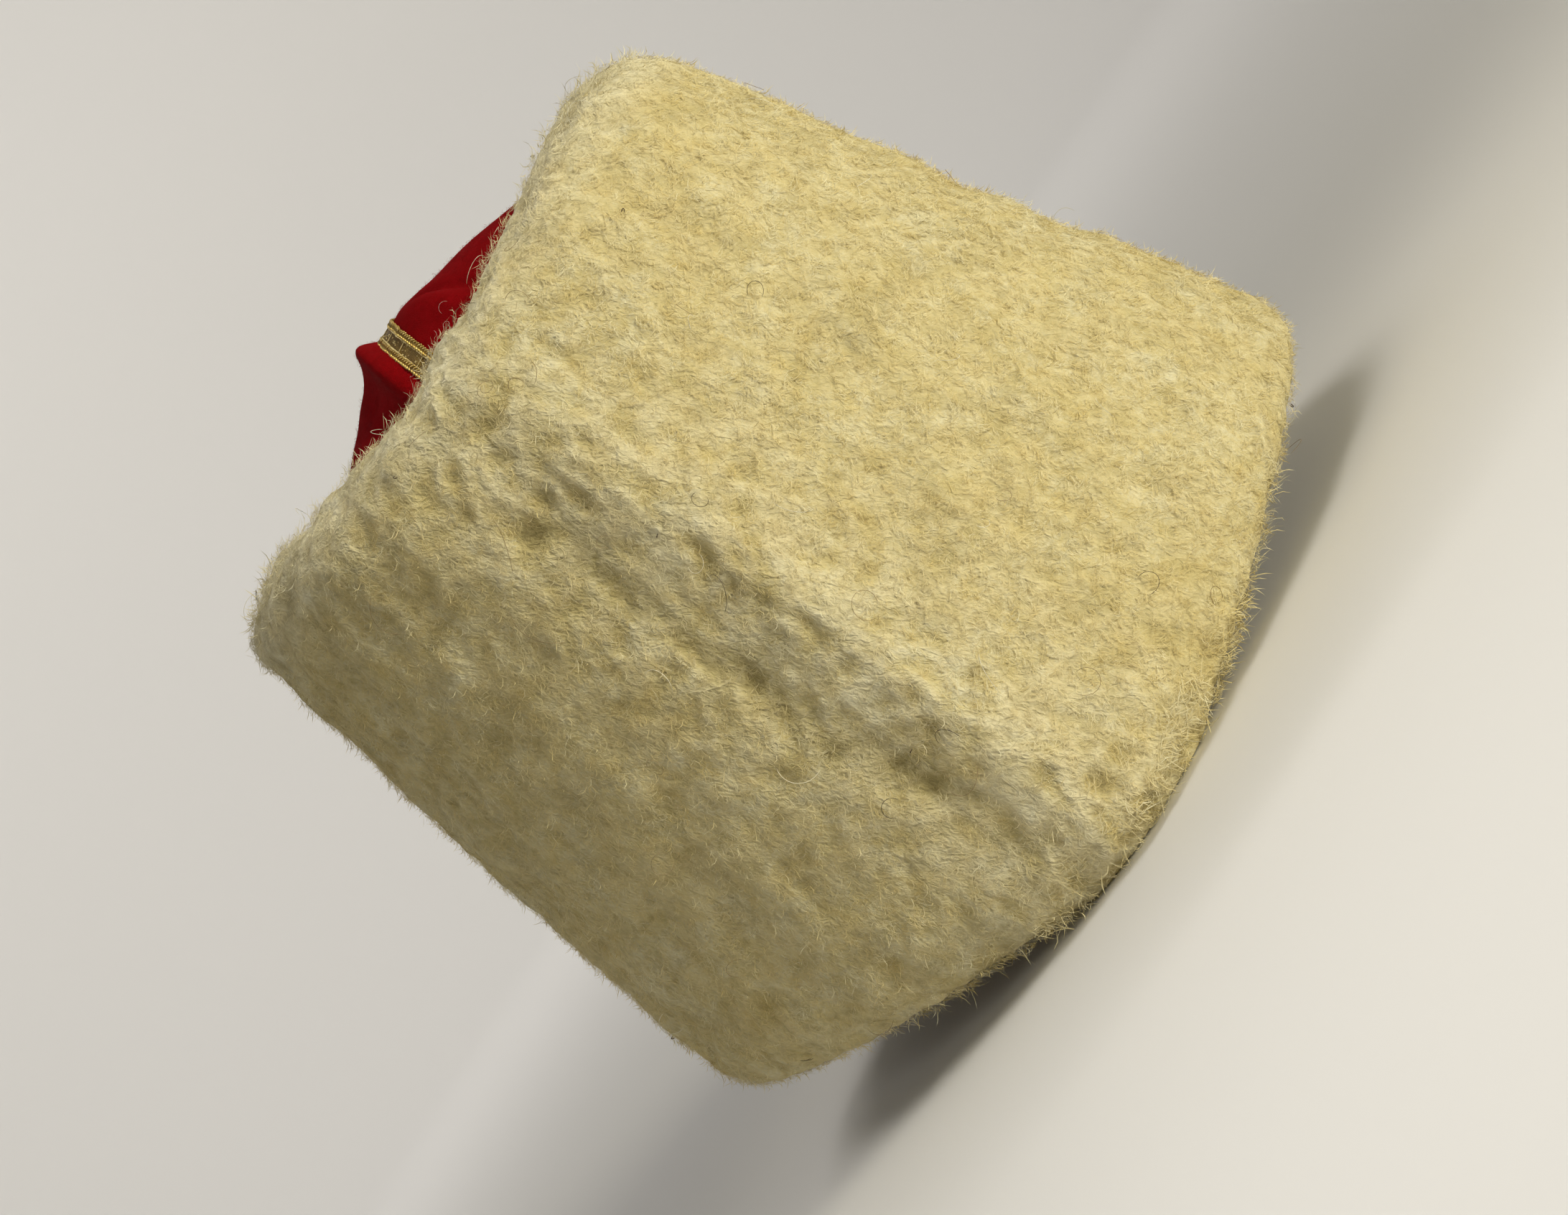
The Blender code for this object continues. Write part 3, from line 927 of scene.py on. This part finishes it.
def foldRise(point):
    side = abs(point.x)
    reachX, reachY = foldSet["reach"]
    radius = math.hypot(point.x / reachX, (point.y - foldSet["middleY"]) / reachY)
    start, end = Vector(foldSet["pleatStart"]), Vector(foldSet["pleatEnd"])
    way = (end - start).normalized()
    offset = Vector((side, point.y)) - start
    share = offset.dot(way) / (end - start).length
    across = offset.dot(Vector((way.y, -way.x)))
    pleat = fade(share, *foldSet["pleatFadeIn"]) * (1 - fade(share, *foldSet["pleatFadeOut"]))
    rise = pleat * (foldAt("pleatRise", across) - foldAt("pleatDrop", across))
    away = point.y - bandMiddle(point.x)
    behind = away - foldSet["tuckBehind"]
    rise += fade(side, *foldSet["tuckSides"]) * (foldAt("tuckRise", behind) - foldAt("tuckDrop", behind))
    rise -= foldAt("frontDrop", away) * (1 - fade(side, *foldSet["frontSides"]))
    return rise * (1 - fade(radius, *foldSet["edge"]))


def refineTop(mesh):
    bm = bmesh.new()
    bm.from_mesh(mesh)
    bm.normal_update()
    edges = {edge for face in bm.faces for edge in face.edges
             if face.normal.z > clothSet["facing"] and face.calc_center_median().z > clothSet["topFrom"]}
    bmesh.ops.subdivide_edges(bm, edges=list(edges), cuts=1, use_grid_fill=True)
    bm.normal_update()
    bm.to_mesh(mesh)
    bm.free()


def makeCrown():
    mesh = subdivided("red_crown", mergedCopy("crown_cloth"), clothSet["levels"])
    refineTop(mesh)
    normals = [vert.normal.copy() for vert in mesh.vertices]
    places, cover = [], []
    for vert, normal in zip(mesh.vertices, normals):
        ripple = clothSet["wrinkle"] * noise.noise(vert.co / clothSet["wrinkleWidth"])
        outward = normal if normal.z > 0 else -normal
        point = vert.co + outward * (foldRise(vert.co) + ripple)
        places += point[:]
        onBand = abs(point.y - bandMiddle(point.x)) < galloonSet["width"] / 2 + galloonSet["margin"]
        cover.append(float(normal.z > clothSet["facing"] and not onBand))
    mesh.vertices.foreach_set("co", places)
    addLayer(mesh, "cover", cover)
    addLayer(mesh, "reach", [1.0] * len(mesh.vertices))
    mesh.shade_smooth()
    mesh.update()
    crown = meshObject("red_crown", mesh, makeRedCloth())
    print("red crown:", triangleCount(mesh), "triangles")
    return crown


def makeNap(crown, tuftTree):
    tufts = makeTufts("nap_tufts", napSet, 8)
    look = {"Tufts": tufts, "Material": makeFibreMaterial("redNap", napLook)}
    piece = grow("red_nap", crown, tuftTree, growthSet["nap"] | look)
    removeGroup(tufts)
    return piece


# Gold galloon across the crown: a bronze weave between twisted cords and plaited gold borders
galloonSet = {
    "width": 0.0064,
    "margin": 0.0002,        # bare cloth beside it
    "middleY": 0.0062,
    "slant": 0.040,
    "border": 0.0018,        # width of each gold border
    "panel": 0.0090,         # distance from one cross bar to the next
    "gold": (0.55, 0.38, 0.10),
    "paleGold": (0.85, 0.70, 0.34),
    "bronze": (0.21, 0.125, 0.04),
    "darkBronze": (0.10, 0.055, 0.02),
    "weaveScales": (300.0, 1400.0, 3500.0),
    "goldScales": (200.0, 900.0, 4000.0),
    "threads": {"run": 0.00042, "breadth": 0.00034},     # distance from one thread to the next
    "threadRise": 0.00012,
    "steps": 330,
    "roughSteps": 800,
    "near": 6,               # rough steps each way that the band's direction is taken from
    "columns": 16,
    "rise": 0.00085,         # height of the weave above the cloth
    "borderRise": 0.00035,
    "edgeDrop": 0.0009,
    "edgeFrom": 0.93,
    "plaitPitch": 0.00105,
    "plaitRise": 0.00115,
    "plaitRows": ((0.25, 0.7), (0.78, -0.7)),            # place in the border and turn
    "cordPitch": 0.00046,
    "cordRise": 0.0011,
    "barBeads": 7,
    "barRise": 0.00100,
    "barInset": 0.0003,
    "looseBeads": 12,
    "looseRise": 0.00088,
}
beadSet = {
    # name: size, segments, rings, material, colour and roughness
    "galloon_plait": ((0.00150, 0.00070, 0.00060), 8, 5, "brightGold", galloonSet["gold"], 0.34),
    "galloon_cords": ((0.00066, 0.00036, 0.00036), 6, 4, "paleGold", galloonSet["paleGold"], 0.3),
    "galloon_bars": ((0.00050, 0.00028, 0.00026), 6, 4, "paleGoldBars", galloonSet["paleGold"], 0.3),
}


# Evenly spaced places along the band, each with the way ahead and the way up
def bandStations(crownTree, reach):
    down = Vector((0, 0, -1))
    rough = []
    for step in range(galloonSet["roughSteps"] + 1):
        x = -reach + 2 * reach * step / galloonSet["roughSteps"]
        hit, normal, _, _ = crownTree.ray_cast(Vector((x, bandMiddle(x), 0.4)), down)
        rough.append((hit, normal if normal.z > 0 else -normal))
    lengths = [0.0]
    for (first, _), (second, _) in zip(rough, rough[1:]):
        lengths.append(lengths[-1] + (second - first).length)
    stations = []
    index = 0
    for step in range(galloonSet["steps"] + 1):
        wanted = lengths[-1] * step / galloonSet["steps"]
        while index < galloonSet["roughSteps"] - 1 and lengths[index + 1] < wanted:
            index += 1
        near = rough[max(0, index - galloonSet["near"]):index + galloonSet["near"] + 1]
        up = sum((normal for _, normal in near), Vector()).normalized()
        ahead = (near[-1][0] - near[0][0]).normalized()
        up = (up - ahead * up.dot(ahead)).normalized()
        share = (wanted - lengths[index]) / max(1e-9, lengths[index + 1] - lengths[index])
        stations.append((rough[index][0].lerp(rough[index + 1][0], share), ahead, up, wanted))
    return stations


# Place, way ahead and way up at a distance along the band and to one side of its middle
def onBand(stations, run, breadth, rise):
    total = stations[-1][3]
    position = min(max(run / total, 0), 1) * (len(stations) - 1)
    index = min(int(position), len(stations) - 2)
    first, second = stations[index], stations[index + 1]
    share = position - index
    place, ahead, up = (first[i].lerp(second[i], share) for i in range(3))
    side = up.cross(ahead).normalized()
    return place + side * breadth + up * rise, ahead, up


def bandRise(breadth):
    half = galloonSet["width"] / 2
    edge = half - galloonSet["border"]
    if abs(breadth) < edge:
        return galloonSet["rise"]
    share = (abs(breadth) - edge) / galloonSet["border"]
    return galloonSet["rise"] + galloonSet["borderRise"] * math.sin(math.pi * share)


def makeTape(stations):
    half, count = galloonSet["width"] / 2, galloonSet["columns"]
    columns = [half * (i / (count / 2) - 1) for i in range(count + 1)]
    points, faces, runs, breadths = [], [], [], []
    for *_, run in stations:
        for breadth in columns:
            drop = galloonSet["edgeDrop"] * fade(abs(breadth), half * galloonSet["edgeFrom"], half)
            points.append(onBand(stations, run, breadth, bandRise(breadth) - drop)[0])
            runs.append(run)
            breadths.append(breadth)
    for row in range(len(stations) - 1):
        for i in range(count):
            start = row * len(columns) + i
            faces.append((start, start + 1, start + 1 + len(columns), start + len(columns)))
    mesh = bpy.data.meshes.new("galloon_tape")
    mesh.from_pydata(points, [], faces)
    addLayer(mesh, "run", runs)
    addLayer(mesh, "breadth", breadths)
    mesh.shade_smooth()
    return meshObject("galloon_tape", mesh, makeWeave())


def makeWeave():
    material, tree, shader = newMaterial("bronzeWeave", Roughness=0.42, Metallic=0.85)
    waves = [addMath(tree, 'MULTIPLY', attributeOf(tree, name), 2 * math.pi / pitch)
             for name, pitch in galloonSet["threads"].items()]
    weave = addMath(tree, 'MULTIPLY', *[addMath(tree, 'SINE', wave) for wave in waves])
    spread = addNode(tree, 'ShaderNodeMapRange', {"Value": weave, "From Min": 0.1, "From Max": 1.3})
    tints = galloonSet["gold"], galloonSet["bronze"], galloonSet["darkBronze"]
    speckled = addTint(tree, tints, galloonSet["weaveScales"], 6.0)
    colour = colourMix(tree, spread.outputs["Result"], speckled, galloonSet["gold"])
    link(tree, colour, shader.inputs["Base Color"])
    addBump(tree, shader, weave, galloonSet["threadRise"])
    return material


def makeBeadTree():
    tree, given, result = newTree("beadsOnPath", 'GeometryNodeTree', [
        ("Geometry", 'Geometry'),
        ("Bead", 'Object'),
        ("Material", 'Material'),
        ("Least Size", 'Float', 0.9),
        ("Most Size", 'Float', 1.1),
        ("Seed", 'Int', 1),
    ], [("Geometry", 'Geometry')])
    forward = alignedTo(tree, 'X', readLayer(tree, "ahead", 'FLOAT_VECTOR'))
    upright = alignedTo(tree, 'Z', readLayer(tree, "up", 'FLOAT_VECTOR'), forward, 'X')
    spin = addNode(tree, 'ShaderNodeCombineXYZ', {"Z": readLayer(tree, "turn")})
    shape = addNode(tree, 'GeometryNodeObjectInfo', {"Object": given["Bead"]})
    setInstances(tree, given, result, given["Geometry"], Instance=shape.outputs["Geometry"],
                 Rotation=turnedBy(tree, upright, spin.outputs[0]), Scale=randomSize(tree, given))
    return tree


def beadObject(name, size, segments, rings):
    bm = bmesh.new()
    bmesh.ops.create_uvsphere(bm, u_segments=segments, v_segments=rings, radius=0.5)
    bmesh.ops.scale(bm, vec=size, verts=bm.verts)
    mesh = bpy.data.meshes.new(name)
    bm.to_mesh(mesh)
    bm.free()
    mesh.shade_smooth()
    return linkObject(bpy.data.objects.new(name, mesh))


# Points for the beads: each spot is run, breadth, rise and turn
def placesMesh(name, stations, spots):
    mesh = bpy.data.meshes.new(name)
    laid = [onBand(stations, run, breadth, rise) for run, breadth, rise, _ in spots]
    mesh.from_pydata([place for place, _, _ in laid], [], [])
    for label, index in (("ahead", 1), ("up", 2)):
        layer = mesh.attributes.new(label, 'FLOAT_VECTOR', 'POINT')
        layer.data.foreach_set("vector", [value for spot in laid for value in spot[index]])
    addLayer(mesh, "turn", [turn for _, _, _, turn in spots])
    return linkObject(bpy.data.objects.new(name, mesh))


# Places of the beads: a plait and a cord along each border, cross bars, and loose ones between the bars
def beadSpots(total):
    half, border, panel = galloonSet["width"] / 2, galloonSet["border"], galloonSet["panel"]
    plaitPitch, cordPitch = galloonSet["plaitPitch"], galloonSet["cordPitch"]
    inner = half - border
    dice = random.Random(3)
    plait, cords, bars = [], [], []
    for side in (-1, 1):
        for row, (share, turn) in enumerate(galloonSet["plaitRows"]):
            away = side * (half - border * (1 - share))
            plait += [((i + 0.5 * row + 0.2) * plaitPitch, away, galloonSet["plaitRise"], side * turn)
                      for i in range(int(total / plaitPitch))]
        cords += [((i + 0.5) * cordPitch, side * inner, galloonSet["cordRise"], side * 0.5)
                  for i in range(int(total / cordPitch))]
    count = galloonSet["barBeads"]
    for number in range(int(total / panel) + 1):
        run = (number + 0.4) * panel
        for i in range(count):
            bars.append((run + dice.uniform(-0.00005, 0.00005),
                         (i / (count - 1) - 0.5) * 2 * (inner - galloonSet["barInset"]),
                         galloonSet["barRise"], math.pi / 2 + 0.45))
        for i in range(galloonSet["looseBeads"]):
            bars.append((run + dice.uniform(0.1, 0.9) * panel, dice.uniform(-0.85, 0.85) * inner,
                         galloonSet["looseRise"], dice.uniform(0, 3)))
    return {"galloon_plait": plait, "galloon_cords": cords, "galloon_bars": bars}


def makeGalloon(crownTree):
    reach = max(vert.co.x for vert in frame["nodes"]["galloon"].data.vertices)
    stations = bandStations(crownTree, reach)
    total = stations[-1][3]
    tree = makeBeadTree()
    pieces = [makeTape(stations)]
    for number, (name, spots) in enumerate(beadSpots(total).items()):
        size, segments, rings, look, colour, roughness = beadSet[name]
        bead = beadObject(name + "_bead", size, segments, rings)
        points = placesMesh(name + "_places", stations, [spot for spot in spots if spot[0] < total])
        material = tintedMaterial(look, (galloonSet["paleGold"], colour, scaled(colour, 0.55)),
                                  galloonSet["goldScales"], 4.5, Roughness=roughness, Metallic=0.9)
        pieces.append(grow(name, points, tree, {"Bead": bead, "Material": material, "Least Size": 0.8,
                                                "Most Size": 1.15, "Seed": number}))
        bpy.data.objects.remove(bead)
        bpy.data.objects.remove(points)
    belongs(pieces, "galloon")


# Stray hairs on the fleece, and pale lint on the cloth near it
straySet = {
    "kinds": {
        # name: count, shortest, longest, lift, radius, colour
        "specks": (24, 0.0005, 0.0009, 0.0014, 0.00013, (0.09, 0.06, 0.03)),
        "tan_hairs": (46, 0.006, 0.013, 0.0029, 0.00006, (0.30, 0.20, 0.09)),
        "dark_hairs": (16, 0.004, 0.009, 0.0029, 0.00007, (0.09, 0.06, 0.03)),
        "pale_hairs": (60, 0.004, 0.009, 0.0036, 0.00006, (0.92, 0.88, 0.70)),
        "lint": (60, 0.0020, 0.0045, 0.0009, 0.00004, (0.72, 0.52, 0.47)),
    },
    # Hairs that the photo shows, all tan, and their lengths
    "seenHairs": ((-0.0768, -0.0013, 0.1623), (-0.0764, -0.0026, 0.1608), (-0.0768, -0.0034, 0.1561),
                  (-0.0691, -0.0210, 0.1632), (-0.0714, 0.0132, 0.1667), (-0.0765, -0.0074, 0.1526),
                  (-0.0677, -0.0362, 0.1336), (-0.0769, -0.0387, 0.0616), (-0.0790, 0.0115, 0.1219)),
    "seenLength": (0.0035, 0.0055),
    "scales": (100.0, 400.0, 1500.0),
    "lowest": 0.012,                     # no hair lies below this height
    "lintRim": (0.052, 0.063, 0.62),     # half width and length of the crown, and where lint starts
}


def curlPath(dice, place, up, length, lift):
    ahead = up.orthogonal()
    ahead.rotate(Matrix.Rotation(dice.uniform(0, 2 * math.pi), 3, up))
    side = up.cross(ahead)
    bend = dice.uniform(1.0, 5.5) * dice.choice((-1, 1))
    change = dice.uniform(-1.5, 1.5)
    path, at, heading = [], Vector((0, 0)), 0.0
    steps = 12
    for step in range(steps + 1):
        share = step / steps
        path.append(place + ahead * at.x + side * at.y + up * lift * math.sin(math.pi * (0.15 + 0.7 * share)))
        heading += (bend + change * share) / steps
        at += Vector((math.cos(heading), math.sin(heading))) * length / steps
    return path


def tubesMesh(name, paths, radius):
    points, faces = [], []
    for path in paths:
        start = len(points)
        for i, place in enumerate(path):
            ahead = (path[min(i + 1, len(path) - 1)] - path[max(i - 1, 0)]).normalized()
            side = ahead.orthogonal().normalized()
            other = ahead.cross(side)
            thin = radius * (0.35 if i in (0, len(path) - 1) else 1)
            for turn in (0, 2.094, 4.189):
                points.append(place + (side * math.cos(turn) + other * math.sin(turn)) * thin)
        for i in range(len(path) - 1):
            for j in range(3):
                a, b = start + 3 * i + j, start + 3 * i + (j + 1) % 3
                faces.append((a, b, b + 3, a + 3))
        faces += [(start, start + 2, start + 1), (len(points) - 3, len(points) - 2, len(points) - 1)]
    mesh = bpy.data.meshes.new(name)
    mesh.from_pydata(points, [], faces)
    mesh.shade_smooth()
    return mesh


def makeStrays(body, crown):
    dice = random.Random(17)

    def spotsOn(obj, count, accept):
        layer = obj.data.attributes["cover"].data
        faces = obj.data.polygons
        found = []
        while len(found) < count:
            face = faces[dice.randrange(len(faces))]
            if layer[face.vertices[0]].value > 0.9 and accept(face.center):
                found.append((face.center.copy(), face.normal.copy()))
        return found

    def nearFleece(point):
        halfX, halfY, share = straySet["lintRim"]
        return (point.x / halfX) ** 2 + ((point.y - foldSet["middleY"]) / halfY) ** 2 > share

    def aboveRim(point):
        return point.z > straySet["lowest"]

    for name, (count, short, long, lift, radius, colour) in straySet["kinds"].items():
        spots = spotsOn(crown, count, nearFleece) if name == "lint" else spotsOn(body, count, aboveRim)
        paths = [curlPath(dice, place, up, dice.uniform(short, long), lift * dice.uniform(0.85, 1.2))
                 for place, up in spots]
        if name == "tan_hairs":
            bodyTree = treeOf(body)
            seen = [bodyTree.find_nearest(Vector(place))[:2] for place in straySet["seenHairs"]]
            paths += [curlPath(dice, place, up, dice.uniform(*straySet["seenLength"]), lift)
                      for place, up in seen]
        look = tintedMaterial(name + "_look", (scaled(colour, 1.3), colour, scaled(colour, 0.6)),
                              straySet["scales"], Roughness=0.6)
        piece = meshObject(name, tubesMesh(name, paths, radius), look)
        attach(piece, "root")


def treeOf(obj):
    return BVHTree.FromPolygons([vert.co for vert in obj.data.vertices],
                                [tuple(face.vertices) for face in obj.data.polygons])


tuftTree = makeTuftTree()
crown = makeCrown()
crownTree = treeOf(crown)
nap = makeNap(crown, tuftTree)
belongs([crown, nap], "crown_cloth")
body = makeFleece(tuftTree, crownTree)
makeGalloon(crownTree)
makeStrays(body, crown)
